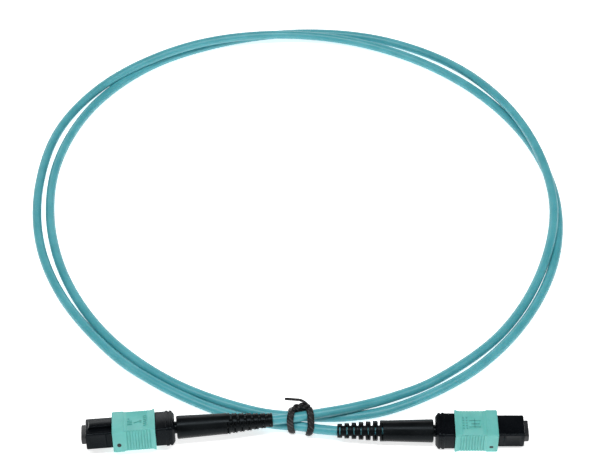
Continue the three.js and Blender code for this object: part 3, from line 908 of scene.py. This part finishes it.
# both connectors, placed and finished
# mark: x, z, length, height, corner; marks are bars: x, y, length, breadth, turn in degrees
ends = {
    "left": {
        "keyUp": True,
        "roll": 12.5,
        "slotTurn": -12.5,
        "cableShows": False,
        "mark": (46.6, -1.1, 1.3, 1.4, 0.64),
        "marks": [
            (43.1, 1.5, 1.5, 0.24, 0), (43.1, 0.7, 1.5, 0.24, 0), (43.1, -0.1, 1.5, 0.24, 0),
            (43.4, -1.2, 0.5, 0.9, 0),
            (40.7, 0.4, 2.5, 0.3, 20), (40.0, 0.1, 0.8, 0.26, 60), (39.9, 0.6, 0.8, 0.26, -20),
        ] + [(38.5, y, 1.1, 0.26, 25) for y in (-2.3, -1.4, -0.5, 0.4, 1.3, 2.2)],
    },
    "right": {
        "keyUp": False,
        "roll": 0,
        "slotTurn": -45,
        "cableShows": True,
        "mark": (46.5, 1.4, 1.15, 0.95, 0.2),
        "marks": [
            (41.5, 1.4, 3.6, 0.24, 0), (41.5, -1.0, 3.6, 0.24, 0), (41.7, 0.2, 2.6, 0.26, 0),
            (41.5, 0.0, 0.28, 3.4, 0),
        ] + [(x, y, 0.5, 0.4, 30) for x in (38.1, 39.1) for y in (-2.1, -1.1, -0.1, 0.9, 1.9)],
    },
}

for side, lie in ends.items():
    place = placeOf(side, lie["keyUp"], lie["roll"])
    makeBoot(side, place, lie["slotTurn"], lie["cableShows"])
    makeRearBody(side, place)
    makeHousing(side, place)
    makeFerrule(side, place)
    makeCoupling(side, place, lie["marks"])
    makePositionMark(side, place, lie["mark"])
    carried = {
        "cable_tail": jacketAqua, "crimp_ring": platedCrimp, "strength_yarn": aramidYarn,
        "ferrule_spring": springWire, "coupling_spring_a": springWire, "coupling_spring_b": springWire,
        "pin_keeper": springWire, "ferrule_boot": bootRubber,
        "fibre_ribbon": ribbonMaterial(side, place, looks["ribbon"]),
    }
    for part, material in carried.items():
        node = frame["nodes"][side + "_" + part]
        node.data.materials.clear()
        node.data.materials.append(material)
    print(side, "connector made")


# the table and the light
studio = {
    "table": 3.0, "tableGlow": 0.72, "sky": 0.12,
    "lights": {  # place, what it faces, size, power
        "topSoftbox": ((0, -0.2, 1.08), (0, 0.06, 0), (1.6, 0.16), 12.0),
        "backSoftbox": ((-0.2, 1.3, 0.42), (0, 0.08, 0), (1.4, 0.4), 5.0),
        "frontSoftbox": ((0.3, -0.9, 0.7), (0, 0.05, 0), (1.0, 0.6), 0.9),
    },
}


def tableMaterial():
    material, tree, shader, place = startMaterial("paleTable")
    tone = mapNode(tree, noiseNode(tree, place, 3.0, 2.0), 0.3, 0.7)
    shadeBetween(tree, shader, tone, (0.9, 0.9, 0.9), (0.93, 0.93, 0.93))
    shader.inputs["Roughness"].default_value = 0.7
    shader.inputs["Emission Color"].default_value = (1, 1, 1, 1)
    shader.inputs["Emission Strength"].default_value = studio["tableGlow"]
    return material


bm = bmesh.new()
bmesh.ops.create_grid(bm, x_segments=2, y_segments=2, size=studio["table"] / 2)
tableMesh = bpy.data.meshes.new("table")
bm.to_mesh(tableMesh)
bm.free()
tableMesh.materials.append(tableMaterial())
tableTop = bpy.data.objects.new("table", tableMesh)
bpy.context.scene.collection.objects.link(tableTop)


def areaLight(name, place, target, size, power):
    light = bpy.data.lights.new(name, "AREA")
    light.shape = "RECTANGLE"
    light.size, light.size_y = size
    light.energy = power
    lamp = bpy.data.objects.new(name, light)
    lamp.location = place
    lamp.rotation_euler = (Vector(place) - Vector(target)).to_track_quat("Z", "Y").to_euler()
    bpy.context.scene.collection.objects.link(lamp)


for name, setting in studio["lights"].items():
    areaLight(name, *setting)

world = bpy.data.worlds.new("studio")
world.use_nodes = True
sky = world.node_tree.nodes["Background"]
sky.inputs["Color"].default_value = (1, 1, 1, 1)
sky.inputs["Strength"].default_value = studio["sky"]
bpy.context.scene.world = world
bpy.context.scene.view_settings.view_transform = "Standard"
print("studio lit")
